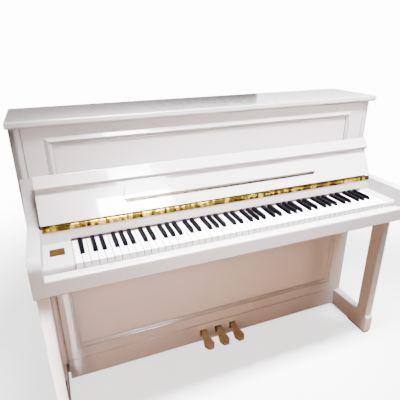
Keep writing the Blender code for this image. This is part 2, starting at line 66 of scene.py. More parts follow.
def middle_of(node):
    return (low_of(node) + high_of(node)) / 2


def joint_place(name):
    return next(Vector(joint["pos_m"]) for joint in frame["joints"] if joint["name"] == name)


# The keyboard: the gap between keys, the slot of a black key, and the length of a key that shows
KEY_GAP = 0.001
BLACK_SLOT = 0.0140
KEY_LENGTH = 0.147
WHITE_PITCH = high_of("key_C4").x - low_of("key_C4").x + KEY_GAP
OCTAVE = 7 * WHITE_PITCH
KEYS_LEFT = low_of("keys_octave_1").x - KEY_GAP / 2
KEY_FRONT = low_of("key_C4").y
KEY_BACK = high_of("key_C4").y
KEY_LOW = low_of("key_C4").z
WHITE_TOP = high_of("key_C4").z
BLACK_TOP = high_of("key_Cs4").z
BLACK_FRONT = low_of("key_Cs4").y
BLACK_WIDTH = high_of("key_Cs4").x - low_of("key_Cs4").x

HINGE = joint_place("fallboard_hinge")
SHELF_PIN = joint_place("music_shelf_hinge")
FLAP_PIN = joint_place("flap_hinge")
BOARD_LEAN = math.atan2(FLAP_PIN.y - HINGE.y, FLAP_PIN.z - HINGE.z)
BOARD_LENGTH = math.hypot(FLAP_PIN.y - HINGE.y, FLAP_PIN.z - HINGE.z)
FLAP_LEAN = math.radians(32.4)

# The long hinges: knuckle radii and pitches, the leaves' thickness, and the end screws' distance inwards
KNUCKLE, SHELF_KNUCKLE = 0.003, 0.0012
KNUCKLE_PITCH, LID_KNUCKLE_PITCH = 0.030, 0.040
HINGE_LEAF = 0.0012
SCREW_INSET = 0.020

# What keeps two faces apart, and the height of the key arms' flat tops
CLEAR = 0.0001
ARM_TOP = 0.770

# Half width, low edge and high edge of each panel's moulding
UPPER_MOULDING = (0.626, 0.830, 1.0475)
LOWER_MOULDING = (0.630, 0.170, 0.600)

ROOT = "case"
STRING_Y = (low_of("strings").y + high_of("strings").y) / 2
PLATE_FACE = low_of("iron_plate").y


# ---- materials ----


def filled(node, **sockets):
    """The node, with its inputs set. A space in an input's name is written as an underscore."""
    for socket, value in sockets.items():
        node.inputs[socket.replace("_", " ")].default_value = value
    return node


def map_range(tree, value, low, high, cut):
    """The part of a value that lies between the two of cut, stretched over low to high."""
    made = tree.nodes.new("ShaderNodeMapRange")
    tree.links.new(value, made.inputs["Value"])
    return filled(made, From_Min=cut[0], From_Max=cut[1], To_Min=low, To_Max=high)


class Finish:
    """A Principled material whose colour, roughness and relief come from noise on the piece."""

    def __init__(self, name, stretch=(1, 1, 1), **sockets):
        self.made = bpy.data.materials.new(name)
        self.made.use_nodes = True
        self.tree = self.made.node_tree
        self.node, self.link = self.tree.nodes.new, self.tree.links.new
        self.shader = filled(self.tree.nodes["Principled BSDF"], **sockets)
        mapping = filled(self.node("ShaderNodeMapping"), Scale=stretch)
        self.link(self.node("ShaderNodeTexCoord").outputs["Object"], mapping.inputs["Vector"])
        self.place = mapping.outputs["Vector"]
        self.relief = None

    def texture(self, kind, **sockets):
        made = filled(self.node(kind), **sockets)
        self.link(self.place, made.inputs["Vector"])
        return made

    def noise(self, scale, detail=3.0, rough=0.55, twist=0.0):
        sockets = {"Scale": scale, "Detail": detail, "Roughness": rough, "Distortion": twist}
        return self.texture("ShaderNodeTexNoise", **sockets).outputs["Fac"]

    def rings(self, scale, twist, direction="X"):
        made = self.texture("ShaderNodeTexWave", Scale=scale, Distortion=twist, Detail=2.0)
        made.bands_direction = direction
        return made.outputs["Fac"]

    def spread(self, factor, low, high, cut=(0.3, 0.7)):
        return map_range(self.tree, factor, low, high, cut).outputs["Result"]

    def blend(self, factor, first, second):
        made = self.node("ShaderNodeMix")
        made.data_type = "RGBA"
        for socket, colour in ((6, first), (7, second)):
            if isinstance(colour, tuple):
                made.inputs[socket].default_value = (*colour, 1.0)
            else:
                self.link(colour, made.inputs[socket])
        self.link(factor, made.inputs["Factor"])
        return made.outputs[2]

    def colour(self, value):
        self.link(value, self.shader.inputs["Base Color"])
        return self

    def roughness(self, factor, low, high):
        self.link(self.spread(factor, low, high), self.shader.inputs["Roughness"])
        return self

    def bump(self, height, depth, strength=1.0):
        made = filled(self.node("ShaderNodeBump"), Strength=strength, Distance=depth)
        self.link(height, made.inputs["Height"])
        if self.relief:
            self.link(self.relief, made.inputs["Normal"])
        self.relief = made.outputs["Normal"]
        self.link(self.relief, self.shader.inputs["Normal"])
        return self


def lacquer():
    """Poured and polished white polyester: a clear gloss over white, with the faintest ripple."""
    made = Finish("white_lacquer", Coat_Weight=0.7, Coat_Roughness=0.03, Coat_IOR=1.5, IOR=1.5)
    tone = made.spread(made.noise(2.5, 2.0), 0.0, 1.0)
    made.colour(made.blend(tone, (0.490, 0.458, 0.462), (0.520, 0.490, 0.495)))
    made.roughness(made.noise(35.0, 4.0), 0.12, 0.20)
    return made.bump(made.noise(110.0, 1.0), 0.00002)


def key_white():
    """Moulded keytops, satin, a little smoother where fingers rub them."""
    made = Finish("keytop_white", IOR=1.49, Coat_Weight=0.15, Coat_Roughness=0.15)
    tone = made.spread(made.noise(14.0, 3.0), 0.0, 1.0)
    made.colour(made.blend(tone, (0.82, 0.82, 0.835), (0.86, 0.86, 0.875)))
    made.roughness(made.noise(60.0, 5.0), 0.20, 0.34)
    return made.bump(made.noise(1400.0, 2.0), 0.00001)


def key_black():
    """Satin black caps with a fine grain along the key and paler rubbed patches."""
    made = Finish("keytop_black", (6, 1, 6), IOR=1.02)
    tone = made.spread(made.noise(40.0, 5.0), 0.0, 1.0)
    made.colour(made.blend(tone, (0.0015, 0.0013, 0.0018), (0.004, 0.0035, 0.0045)))
    made.roughness(made.noise(90.0, 4.0), 0.26, 0.44)
    return made.bump(made.noise(260.0, 3.0), 0.00003)


def brass(name, bright, dull, smooth, rough, stretch=(1, 14, 14), patches=26.0, cut=(0.3, 0.7)):
    """Brass, drawn along x, with darker patches: tarnish on the lid hinge, pedals and plate, and painted
    dark reflections and painted shade on the fallboard and ledge hinges.
    """
    made = Finish(name, stretch, Metallic=1.0)
    made.colour(made.blend(made.spread(made.noise(patches, 3.0), 0.0, 1.0, cut), bright, dull))
    made.roughness(made.noise(60.0, 4.0), smooth, rough)
    return made.bump(made.noise(190.0, 3.0), 0.00002)


def hinge_brass():
    """Polished gold, with short dark stretches painted into its colour along x: painted dark
    reflections, standing for the dark segments that the knuckles reflect.
    """
    # The dull colour is a painted dark reflection, laid in short stretches along the hinge.
    bright, dull = (0.52, 0.31, 0.018), (0.050, 0.028, 0.003)
    return brass("polished_brass", bright, dull, 0.10, 0.24, (1, 0.05, 0.05), 62.0, (0.47, 0.53))


def ledge_brass():
    """The thin hinge under the music ledge, its colours darkened as painted shade, standing for the
    shadow of the ledge above it.
    """
    # Both colours are dark: painted shade of the ledge over the hinge.
    bright, dull = (0.10, 0.072, 0.040), (0.030, 0.022, 0.015)
    return brass("ledge_brass_painted_shade", bright, dull, 0.25, 0.40, (1, 0.05, 0.05), 50.0, (0.45, 0.60))


def lid_brass():
    """The lid's hinge, at the back of the piano, dull all over."""
    return brass("lid_brass", (0.40, 0.27, 0.09), (0.26, 0.17, 0.06), 0.22, 0.40)


def pedal_brass():
    """Pedals are brushed along their length, and worn."""
    return brass("pedal_brass", (0.36, 0.26, 0.15), (0.25, 0.17, 0.09), 0.28, 0.48, (14, 1, 14))


def plate_brass():
    return brass("plate_brass", (0.110, 0.055, 0.008), (0.080, 0.038, 0.005), 0.40, 0.56)


def wood(name, light, dark, stretch, varnish=0.0):
    """Wood whose grain runs along the axis that is stretched least: growth rings, pores and flecks."""
    made = Finish(name, stretch, Coat_Weight=varnish, Coat_Roughness=0.25)
    rings = made.spread(made.noise(9.0, 4.0, 0.6, 0.6), 0.0, 1.0)
    pores = made.spread(made.noise(60.0, 6.0, 0.7), 0.0, 1.0)
    middle = tuple((a + b) / 2 for a, b in zip(light, dark))
    grain = made.blend(rings, light, middle)
    made.colour(made.blend(made.spread(pores, 0.0, 0.55), grain, dark))
    made.roughness(pores, 0.42, 0.62)
    return made.bump(pores, 0.00012)


def beech_x():
    return wood("beech_x", (0.66, 0.47, 0.29), (0.44, 0.28, 0.15), (0.35, 7, 7))


def beech_z():
    return wood("beech_z", (0.64, 0.46, 0.29), (0.42, 0.27, 0.15), (7, 7, 0.35))


# The levers' wood is near-black: painted shade, standing for the shadow in the gaps between the keys,
# where alone the levers show.
def key_wood():
    return wood("key_wood", (0.11, 0.078, 0.052), (0.065, 0.045, 0.030), (12, 0.6, 12))


def spruce():
    return wood("spruce_board", (0.78, 0.60, 0.36), (0.58, 0.40, 0.20), (22, 22, 0.35), 0.5)


def cast_iron():
    """Cast iron under bronze paint: sandy relief and a soft metallic lustre."""
    made = Finish("bronzed_iron", Metallic=0.75)
    tone = made.spread(made.noise(7.0, 5.0), 0.0, 1.0)
    made.colour(made.blend(tone, (0.56, 0.41, 0.16), (0.43, 0.30, 0.11)))
    made.roughness(made.noise(45.0, 4.0), 0.36, 0.52)
    return made.bump(made.noise(420.0, 4.0), 0.00025).bump(made.noise(60.0, 2.0), 0.0004, 0.6)


def steel():
    made = Finish("steel_wire", (1, 12, 12), Metallic=1.0)
    made.colour(made.blend(made.noise(50.0, 3.0), (0.62, 0.62, 0.64), (0.46, 0.46, 0.48)))
    made.roughness(made.noise(70.0, 3.0), 0.20, 0.36)
    return made.bump(made.noise(300.0, 2.0), 0.00002)


def copper():
    """The copper winding of a bass string: turns close together along it."""
    made = Finish("copper_winding", Metallic=1.0)
    made.colour(made.blend(made.noise(30.0, 3.0), (0.72, 0.36, 0.20), (0.52, 0.24, 0.13)))
    made.roughness(made.noise(60.0, 3.0), 0.26, 0.42)
    return made.bump(made.rings(190.0, 0.0, "Z"), 0.0002)


def felt(name, pale, deep):
    """Pressed wool: short fibres that break up the colour and stand off the surface."""
    made = Finish(name, Sheen_Weight=0.35, Sheen_Roughness=0.5, IOR=1.3)
    tone = made.spread(made.noise(260.0, 8.0, 0.7), 0.0, 1.0)
    made.colour(made.blend(tone, deep, pale))
    made.roughness(made.noise(120.0, 3.0), 0.88, 1.0)
    return made.bump(made.noise(900.0, 6.0, 0.7), 0.0006)


def felt_red():
    return felt("red_felt", (0.050, 0.008, 0.007), (0.022, 0.004, 0.004))


def felt_green():
    return felt("green_felt", (0.10, 0.26, 0.16), (0.05, 0.15, 0.09))


def hammer_felt():
    return felt("hammer_felt", (0.86, 0.84, 0.78), (0.72, 0.69, 0.62))


def rubber():
    """Clear, faintly grey soft bumpers."""
    made = Finish("soft_rubber", IOR=1.45)
    made.colour(made.blend(made.noise(300.0, 3.0), (0.56, 0.55, 0.54), (0.44, 0.43, 0.42)))
    made.roughness(made.noise(200.0, 3.0), 0.35, 0.55)
    return made.bump(made.noise(900.0, 2.0), 0.00005)


def dark_rubber():
    made = Finish("dark_rubber", IOR=1.4)
    made.colour(made.blend(made.noise(60.0, 4.0), (0.020, 0.019, 0.018), (0.045, 0.042, 0.040)))
    made.roughness(made.noise(90.0, 3.0), 0.6, 0.8)
    return made.bump(made.noise(500.0, 3.0), 0.0001)


FINISHES = dict(
    lacquer=lacquer, key_white=key_white, key_black=key_black, key_wood=key_wood,
    hinge_brass=hinge_brass, ledge_brass=ledge_brass, lid_brass=lid_brass, pedal_brass=pedal_brass,
    plate_brass=plate_brass, beech_x=beech_x, beech_z=beech_z, spruce=spruce, cast_iron=cast_iron,
    steel=steel, copper=copper, felt_red=felt_red, felt_green=felt_green, hammer_felt=hammer_felt,
    rubber=rubber, dark_rubber=dark_rubber,
)

# The materials made so far, by finish
made_finishes = {}


def material_of(finish):
    if finish not in made_finishes:
        made_finishes[finish] = FINISHES[finish]().made
    return made_finishes[finish]


# ---- shapes ----


def arc(centre, radius, start, end, steps):
    """Points on a circle, from start to end degrees, both included."""
    angles = [math.radians(start + (end - start) * i / steps) for i in range(steps + 1)]
    return [(centre[0] + radius * math.cos(a), centre[1] + radius * math.sin(a)) for a in angles]


def evenly(first, last, count):
    return [first + i * (last - first) / (count - 1) for i in range(count)]


def rounded(points, radius, steps=4):
    """A closed outline with its corners turned into arcs, of one radius or of one for each corner."""
    radii = radius if isinstance(radius, (list, tuple)) else [radius] * len(points)
    made = []
    for i, corner in enumerate(points):
        here = Vector(corner)
        before = Vector(points[i - 1]) - here
        after = Vector(points[(i + 1) % len(points)]) - here
        half = before.angle(after) / 2
        if radii[i] <= 0 or half > math.radians(89):
            made.append(tuple(here))
            continue
        cut = min(radii[i] / math.tan(half), 0.48 * before.length, 0.48 * after.length)
        size = cut * math.tan(half)
        middle = (before.normalized() + after.normalized()).normalized()
        centre = here + middle * (size / math.sin(half))
        first = here + before.normalized() * cut - centre
        last = here + after.normalized() * cut - centre
        start = math.degrees(math.atan2(first.y, first.x))
        turn = math.degrees(math.atan2(last.y, last.x)) - start
        turn = (turn + 180) % 360 - 180
        made += arc(centre, size, start, start + turn, steps)
    return made


def through(points, steps=5):
    """A smooth open curve through the points."""
    padded = [points[0], *points, points[-1]]
    made = []
    for i in range(len(points) - 1):
        a, b, c, d = (Vector(p) for p in padded[i:i + 4])
        for k in range(steps):
            t = k / steps
            pull = 2 * b + (c - a) * t + (2 * a - 5 * b + 4 * c - d) * t ** 2
            made.append(tuple((pull + (3 * b - a - 3 * c + d) * t ** 3) / 2))
    return made + [tuple(points[-1])]


PLACES = {
    "X": lambda p, t: Vector((t, p[0], p[1])),
    "Y": lambda p, t: Vector((p[0], t, p[1])),
    "Z": lambda p, t: Vector((p[0], p[1], t)),
}


def skin(loops, into=None):
    """A closed solid over a row of loops: a face on the first and on the last, and quads between."""
    maker = into or bmesh.new()
    rings = [[maker.verts.new(place) for place in loop] for loop in loops]
    maker.faces.new(rings[0])
    maker.faces.new(rings[-1])
    for near, far in zip(rings, rings[1:]):
        for i in range(len(near)):
            j = (i + 1) % len(near)
            maker.faces.new((near[i], near[j], far[j], far[i]))
    return maker


def prism(outline, start, end, axis, into=None):
    """The outline, whose points lie across the axis, pulled from start to end along it."""
    return skin([[PLACES[axis](p, t) for p in outline] for t in (start, end)], into)


def rectangle(low, high):
    return [(low[0], low[1]), (high[0], low[1]), (high[0], high[1]), (low[0], high[1])]


def block(low, high, into=None):
    """A box, for edges that the piece's own rounding softens."""
    return prism(rectangle(low, high), low[2], high[2], "Z", into)


def turned(foot, axis, profile, sides=16, into=None):
    """A turned solid: its profile gives (radius, distance along the axis) from its foot to its end."""
    turn = Vector((0, 0, 1)).rotation_difference(Vector(axis))
    loops = []
    for radius, along in profile:
        ring = arc((0, 0), radius, 0, 360, sides)[:-1]
        loops.append([Vector(foot) + turn @ Vector((x, y, along)) for x, y in ring])
    return skin(loops, into)


def rod(start, end, radius, sides=10, into=None):
    start, end = Vector(start), Vector(end)
    length = (end - start).length
    soft = min(radius * 0.3, length / 4)
    profile = [(radius - soft, 0), (radius, soft), (radius, length - soft), (radius - soft, length)]
    return turned(start, end - start, profile, sides, into)


def screw_head(place, axis, radius, into):
    """A low domed screw head, sunk in the middle. Its profile is in parts of its radius."""
    profile = [(1, 0), (1, 0.12), (0.82, 0.30), (0.45, 0.40), (0.40, 0.16), (0.10, 0.14)]
    return turned(place, axis, [(radius * r, radius * h) for r, h in profile], 14, into)


def nested(rings):
    """A board whose front and back are made from nested rectangles, each (half, low, high, y)."""
    return skin([
        [(-half, y, low), (half, y, low), (half, y, high), (-half, y, high)]
        for half, low, high, y in rings
    ])


def copied(node):
    """The sub-part's own solid, with its flat faces whole again, ready for rounding."""
    maker = bmesh.new()
    maker.from_mesh(frame["nodes"][node].data)
    bmesh.ops.remove_doubles(maker, verts=maker.verts, dist=1e-6)
    edges = list(maker.edges)
    bmesh.ops.dissolve_limit(maker, angle_limit=math.radians(1), verts=maker.verts, edges=edges)
    return maker


def copied_piece(name, node, finish, edge, steps=3, body=ROOT):
    piece(name, copied(node), finish, body, [node], edge, steps)


def piece(name, maker, finish, body=ROOT, nodes=(), edge=0.0, steps=3, sharp=38):
    """Makes the mesh a piece in that finish, which rides on the body and stands for the nodes."""
    bmesh.ops.recalc_face_normals(maker, faces=maker.faces)
    mesh = bpy.data.meshes.new(name)
    maker.to_mesh(mesh)
    maker.free()
    mesh.shade_smooth()
    made = bpy.data.objects.new(name, mesh)
    bpy.context.scene.collection.objects.link(made)
    mesh.materials.append(material_of(finish))
    if edge:
        soften = made.modifiers.new("edges", "BEVEL")
        soften.width = edge
        soften.segments = steps
        soften.limit_method = "ANGLE"
        soften.angle_limit = math.radians(sharp)
        soften.harden_normals = True
    else:
        mesh.set_sharp_from_angle(angle=math.radians(sharp))
    flat = made.modifiers.new("flat", "WEIGHTED_NORMAL")
    flat.weight = 100
    flat.keep_sharp = True
    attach(made, body)
    if nodes:
        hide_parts(*nodes)
    return made


# ---- case ----


def case_side(word, sign):
    """A side, whose front edge has a slanted outer corner and an upright groove, and its pilaster."""
    node = f"side_{word}"
    low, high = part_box(node)
    inner, outer = 0.693, max(abs(low.x), abs(high.x))
    groove, depth, groove_at = 0.0030, 0.009, outer - 0.0175
    slant = (0.0155, 0.0120)
    pilaster_edge, pilaster_depth, pilaster_top = 0.673, 0.020, 0.641
    outline = [
        (inner, low.y), (groove_at - groove / 2, low.y), (groove_at - groove / 2, low.y + depth),
        (groove_at + groove / 2, low.y + depth), (groove_at + groove / 2, low.y + 0.0008),
        (outer - slant[0], low.y + 0.0004), (outer, low.y + slant[1]), (outer, high.y), (inner, high.y),
    ]
    outline = rounded(outline, [0.001, 0.0007, 0.0006, 0.0006, 0.0002, 0.0006, 0.0080, 0.002, 0.001], 6)
    outline = [(sign * x, y) for x, y in outline]
    piece(node + "_panel", prism(outline, low.z, high.z, "Z"), "lacquer", ROOT, [node], 0.0006, 2, 60)
    left, right = sorted((sign * pilaster_edge, sign * (inner - 0.0004)))
    maker = block((left, low.y + 0.0006, low.z), (right, low.y + pilaster_depth, pilaster_top))
    piece(node + "_pilaster", maker, "lacquer", edge=0.0022)


def arm(word):
    """A key arm, rounded in front and swept up at its back into a cheek."""
    node = f"arm_{word}"
    low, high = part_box(node)
    radius, hollow = 0.034, 0.030
    foot = KEY_FRONT + 0.180
    outline = arc((low.y + 0.004, low.z + 0.004), 0.004, 270, 180, 4)
    outline += arc((low.y + radius, ARM_TOP - radius), radius, 180, 90, 16)
    outline += arc((foot, ARM_TOP + hollow), hollow, 270, 322, 8)
    sweep = [outline[-1], (KEY_FRONT + 0.226, 0.828), (KEY_FRONT + 0.244, 0.860), (high.y, high.z)]
    outline += through(sweep)[1:]
    outline.append((high.y, low.z))
    piece(f"key_arm_{word}", prism(outline, low.x, high.x, "X"), "lacquer", ROOT, [node], 0.0022, 4, 50)


def leg_and_toe(word):
    low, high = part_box(f"leg_{word}")
    maker = prism(rounded(rectangle(low, high), 0.0035, 5), low.z, high.z, "Z")
    piece(f"front_leg_{word}", maker, "lacquer", ROOT, [f"leg_{word}"], 0.0008, 2, 60)
    low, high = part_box(f"toe_{word}")
    relief = 0.010
    middle = KEY_FRONT + 0.270
    chamfer = 0.012
    outline = [(low.y, relief), (high.y, relief), (high.y, high.z)]
    outline += [(low.y + chamfer, high.z), (low.y, high.z - chamfer)]
    outline = rounded(outline, [0.003, 0.002, 0.002, 0.008, 0.008], 5)
    maker = prism(outline, low.x, high.x, "X")
    piece(f"foot_{word}", maker, "lacquer", ROOT, [f"toe_{word}"], 0.002, 3, 60)
    pads = bmesh.new()
    inset = 0.004
    for start, end in ((low.y, KEY_FRONT + 0.150), (middle, middle + 0.030), (high.y - 0.080, high.y)):
        block((low.x + inset, start + inset, 0.0), (high.x - inset, end - inset, relief), pads)
    piece(f"foot_pads_{word}", pads, "dark_rubber", edge=0.0015)


def framed_panel(node, name, body, moulding):
    """A panel with soft edges and a raised rectangular moulding: a broad outer slope, a crest, a narrow
    groove, a hollow inner slope and a second groove."""
    low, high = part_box(node)
    face = low.y + 0.007
    half, radius, turns = high.x + 0.0011, 0.0045, 5
    outer, under, over = moulding
    rings = [(half - 0.001, low.z + 0.001, high.z - 0.001, high.y)]
    rings.append((half, low.z, high.z, high.y - 0.001))
    for i in range(turns + 1):
        angle = math.radians(90 * i / turns)
        inset = radius * (1 - math.cos(angle))
        y = face + radius * (1 - math.sin(angle))
        rings.append((half - inset, low.z + inset, high.z - inset, y))
    profile = [  # (inwards from the moulding's outer edge, proud of the face)
        (0.0000, 0.0000), (0.0006, 0.0008), (0.0104, 0.0060), (0.0116, 0.0068), (0.0128, 0.0070),
        (0.0134, 0.0064), (0.0136, -0.0020), (0.0154, -0.0020), (0.0156, 0.0050), (0.0166, 0.0046),
        (0.0196, 0.0022), (0.0216, 0.0010), (0.0222, 0.0002), (0.0224, -0.0070), (0.0250, -0.0070),
        (0.0252, -0.0034), (0.0262, -0.0030),
    ]
    for inset, proud in profile:
        rings.append((outer - inset, under + inset, over - inset, face - proud))
    piece(name, nested(rings), "lacquer", body, [node], sharp=28)


def case():
    for word, sign in (("left", -1), ("right", 1)):
        case_side(word, sign)
        arm(word)
        leg_and_toe(word)
    framed_panel("upper_panel", "upper_front_panel", ROOT, UPPER_MOULDING)
    framed_panel("lower_panel", "lower_front_panel", "lower_panel", LOWER_MOULDING)
    low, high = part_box("top_lid")
    outline = [(low.y + 0.0050, low.z), (low.y, low.z + 0.0065), (low.y, high.z)]
    outline += [(high.y, high.z), (high.y, low.z)]
    outline = rounded(outline, [0.0015, 0.0015, 0.0050, 0.0040, 0.0015], 6)
    piece("lid_board", prism(outline, low.x, high.x, "X"), "lacquer", "lid", ["top_lid"], 0.0030, 4, 60)
    copied_piece("lower_rail", "kick_rail", "lacquer", 0.0012)
    copied_piece("case_floor", "bottom_board", "beech_x", 0.0012)


def key_slip():
    """The rail in front of the keys: flat on top, rolled over at its front, and chamfered below."""
    low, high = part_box("key_slip")
    top, front = high.z, low.y
    outline = [(high.y, low.z), (front + 0.0040, low.z), (front, low.z + 0.0040)]
    outline += [(front, top - 0.0070), (front + 0.0010, top - 0.0015)]
    outline += [(front + 0.0090, top), (high.y, top)]
    outline = rounded(outline, [0.0005, 0.0010, 0.0010, 0.0060, 0.0040, 0.0100, 0.0015], 6)
    piece("front_slip", prism(outline, low.x, high.x, "X"), "lacquer", ROOT, ["key_slip"], 0.0006, 2, 60)
    bumpers = bmesh.new()
    for sign in (-1, 1):
        profile = [(0.0040, 0), (0.0040, 0.0008), (0.0034, 0.0016), (0.0022, 0.0022), (0.0008, 0.0024)]
        turned((sign * 0.662, KEY_FRONT - 0.010, top), (0, 0, 1), profile, 20, bumpers)
    piece("slip_bumpers", bumpers, "rubber", sharp=60)


def key_blocks_and_rail():
    for word in ("left", "right"):
        low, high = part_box(f"key_block_{word}")
        outline = rectangle((high.y, low.z), (low.y, high.z))
        outline = rounded(outline, [0.0004, 0.0010, 0.0110, 0.0006], 9)
        maker = prism(outline, low.x, high.x, "X")
        piece(f"cheek_block_{word}", maker, "lacquer", ROOT, [f"key_block_{word}"], 0.0012, 3, 60)
    low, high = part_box("blank_plate")
    maker = prism(rounded(rectangle(low, high), 0.0015, 4), low.z, high.z, "Z")
    piece("small_plate", maker, "plate_brass", ROOT, ["blank_plate"], 0.0005, 2, 60)
    copied_piece("hinge_rail", "name_rail", "lacquer", 0.0008, 2)
    copied_piece("key_felt", "nameboard_felt", "felt_red", 0.0012, 3)


# ---- keys ----

WHITE_NAMES = ("C", "D", "E", "F", "G", "A", "B")
BLACK_NAMES = ("Cs", "Ds", "Fs", "Gs", "As")
SINGLE_OCTAVE = 4


def octave_start(octave):
    return KEYS_LEFT + 2 * WHITE_PITCH + (octave - 1) * OCTAVE


def tail_edges():
    """Where each white key's tail starts and ends within an octave, and each black key's middle."""
    tails, blacks = [], []
    for first, count in ((0, 3), (3, 4)):
        tail = (count * WHITE_PITCH - (count - 1) * BLACK_SLOT) / count
        for i in range(count):
            start = first * WHITE_PITCH + i * (tail + BLACK_SLOT)
            tails.append((start, start + tail))
            if i < count - 1:
                blacks.append(start + tail + BLACK_SLOT / 2)
    return tails, blacks


def white_outline(octave, index, front, back, margin):
    """A white key from above, drawn in by margin all round."""
    start = octave_start(octave)
    left = start + index * WHITE_PITCH
    right = left + WHITE_PITCH
    tail_left, tail_right = (start + edge for edge in tail_edges()[0][index])
    if (octave, index) == (0, 5):
        tail_left = left
    if octave == 8:
        tail_right = right
    inset = KEY_GAP / 2 + margin
    left, tail_left = left + inset, tail_left + inset
    right, tail_right = right - inset, tail_right - inset
    notch = BLACK_FRONT - 0.0015 - margin
    outline = [(left, front), (right, front)]
    if tail_right < right:
        outline += [(right, notch), (tail_right, notch)]
    outline += [(tail_right, back), (tail_left, back)]
    if tail_left > left:
        outline += [(tail_left, notch), (left, notch)]
    return outline


def in_two_finishes(maker, shared, finish, name, body, nodes, edge, steps):
    """A key whose first faces are its cap, and whose faces from number shared on are its lever."""
    for number, face in enumerate(maker.faces):
        face.material_index = 1 if number >= shared else 0
    made = piece(name, maker, finish, body, nodes, edge, steps, 45)
    made.data.materials.append(material_of("key_wood"))


def white_key(octave, index, body, nodes):
    """A white key: a thin moulded top with a lip, its front face, and the wooden lever under it."""
    cap, lip, plate, inset, lever_inset = 0.0024, 0.0012, 0.0016, 0.0007, 0.0012
    outline = white_outline(octave, index, KEY_FRONT - lip, KEY_FRONT + KEY_LENGTH, inset)
    maker = prism(outline, WHITE_TOP - cap, WHITE_TOP, "Z")
    left = octave_start(octave) + index * WHITE_PITCH + KEY_GAP / 2 + inset
    width = WHITE_PITCH - KEY_GAP - 2 * inset
    under = WHITE_TOP - cap + 2 * CLEAR
    block((left, KEY_FRONT + 2 * CLEAR, KEY_LOW), (left + width, KEY_FRONT + plate, under), maker)
    shared = len(maker.faces)
    outline = white_outline(octave, index, KEY_FRONT + plate + CLEAR, KEY_BACK, lever_inset)
    prism(outline, KEY_LOW, WHITE_TOP - cap - CLEAR, "Z", maker)
    name = f"white_key_{WHITE_NAMES[index]}{octave}"
    in_two_finishes(maker, shared, "key_white", name, body, nodes, 0.0005, 2)


def black_key(octave, index, body, nodes):
    """A black key: a cap that narrows upwards, with a sloped front, on a wooden lever."""
    middle = octave_start(octave) + tail_edges()[1][index]
    back = KEY_FRONT + KEY_LENGTH - 0.002
    foot, top = BLACK_WIDTH / 2, BLACK_WIDTH / 2 - 0.0009
    low_z, front = WHITE_TOP - 0.0040, BLACK_FRONT
    lower = rectangle((-foot, front), (foot, back))
    upper = rectangle((-top, front + 0.0070), (top, back - 0.0005))
    levels = ((lower, low_z), (lower, WHITE_TOP - 0.0005), (upper, BLACK_TOP))
    maker = skin([[(middle + x, y, z) for x, y in outline] for outline, z in levels])
    shared = len(maker.faces)
    side = foot - 0.0003
    block((middle - side, front + 0.0010, KEY_LOW), (middle + side, KEY_BACK, low_z - CLEAR), maker)
    name = f"black_key_{BLACK_NAMES[index]}{octave}"
    in_two_finishes(maker, shared, "key_black", name, body, nodes, 0.0010, 3)


def keyboard():
    """All 88 keys. One octave's keys are sub-parts of their own, and the others' share one each."""
    keys = {octave: [(octave, i) for i in range(7)] for octave in range(1, 8)}
    keys[1] = [(0, 5), (0, 6)] + keys[1]
    keys[7].append((8, 0))
    sharps = {octave: [(octave, i) for i in range(5)] for octave in range(1, 8)}
    sharps[1].insert(0, (0, 4))
    for octave in range(1, 8):
        group = f"keys_octave_{octave}"
        kinds = ((WHITE_NAMES, white_key, keys[octave]), (BLACK_NAMES, black_key, sharps[octave]))
        for names, made_by, members in kinds:
            for at, index in members:
                node = f"key_{names[index]}{at}" if octave == SINGLE_OCTAVE else group
                made_by(at, index, node, [node])


# ---- fallboard ----


def on_board(along, out):
    """(y, z) of a point on the open fallboard: along it from its hinge, and out towards the player."""
    sin, cos = math.sin(BOARD_LEAN), math.cos(BOARD_LEAN)
    return (HINGE.y + along * sin - out * cos, HINGE.z + along * cos + out * sin)


def along_board(place):
    """How far along the open fallboard a point is, and how far out from its face."""
    sin, cos = math.sin(BOARD_LEAN), math.cos(BOARD_LEAN)
    y, z = place.y - HINGE.y, place.z - HINGE.z
    return (y * sin + z * cos, z * sin - y * cos)


def on_flap(down, out):
    """(y, z) of a point on the folded flap: down it from its pin, and out towards the player."""
    sin, cos = math.sin(FLAP_LEAN), math.cos(FLAP_LEAN)
    return (FLAP_PIN.y - down * sin - out * cos, FLAP_PIN.z - down * cos + out * sin)


def fallboard():
    """The board, and the flap that lies folded down over its front."""
    half = high_of("fallboard").x
    thick = 0.018
    start, end = KNUCKLE + 0.0042, BOARD_LENGTH - 0.003
    corners = rectangle((start, 0.0), (end, -thick))
    outline = [on_board(*p) for p in rounded(corners, [0.0012, 0.0015, 0.0040, 0.0015], 5)]
    maker = prism(outline, -half, half, "X")
    piece("fall_board", maker, "lacquer", "fallboard", ["fallboard"], 0.0020, 4, 60)
    length, depth, chamfer = 0.048, 0.014, 0.0065
    corners = [(0.0020, 0.0006), (length, 0.0006), (length, 0.0050), (length - chamfer, depth)]
    corners += [(-0.001, depth), (-0.001, 0.0042), (0.0020, 0.0030)]
    outline = [on_flap(*p) for p in rounded(corners, [0, 0.0015, 0.0015, 0.0015, 0.0035, 0.0006, 0], 6)]
    maker = prism(outline, -half, half, "X")
    piece("fall_flap", maker, "lacquer", "flap", ["fallboard_flap"], 0.0020, 4, 60)


def knuckles(name, finish, bodies, axis, half, radius, pitch):
    """A long hinge's knuckles, from -half to half along x at (y, z), by turns on the two bodies."""
    gap = 0.0004
    count = round(2 * half / pitch)
    step = 2 * half / count
    for parity, body in enumerate(bodies):
        maker = bmesh.new()
        for i in range(parity, count, 2):
            left = -half + i * step + gap / 2
            right = -half + (i + 1) * step - gap / 2
            rod((left, *axis), (right, *axis), radius, 14, maker)
        piece(f"{name}_knuckles_{parity + 1}", maker, finish, body)


def hinge_screws(name, finish, half, count, place, axis, radius):
    """A row of screws along x at (y, z), on the hinge's leaf."""
    screws = bmesh.new()
    for x in evenly(-half + SCREW_INSET, half - SCREW_INSET, count):
        screw_head((x, *place), axis, radius, screws)
    piece(name, screws, finish)


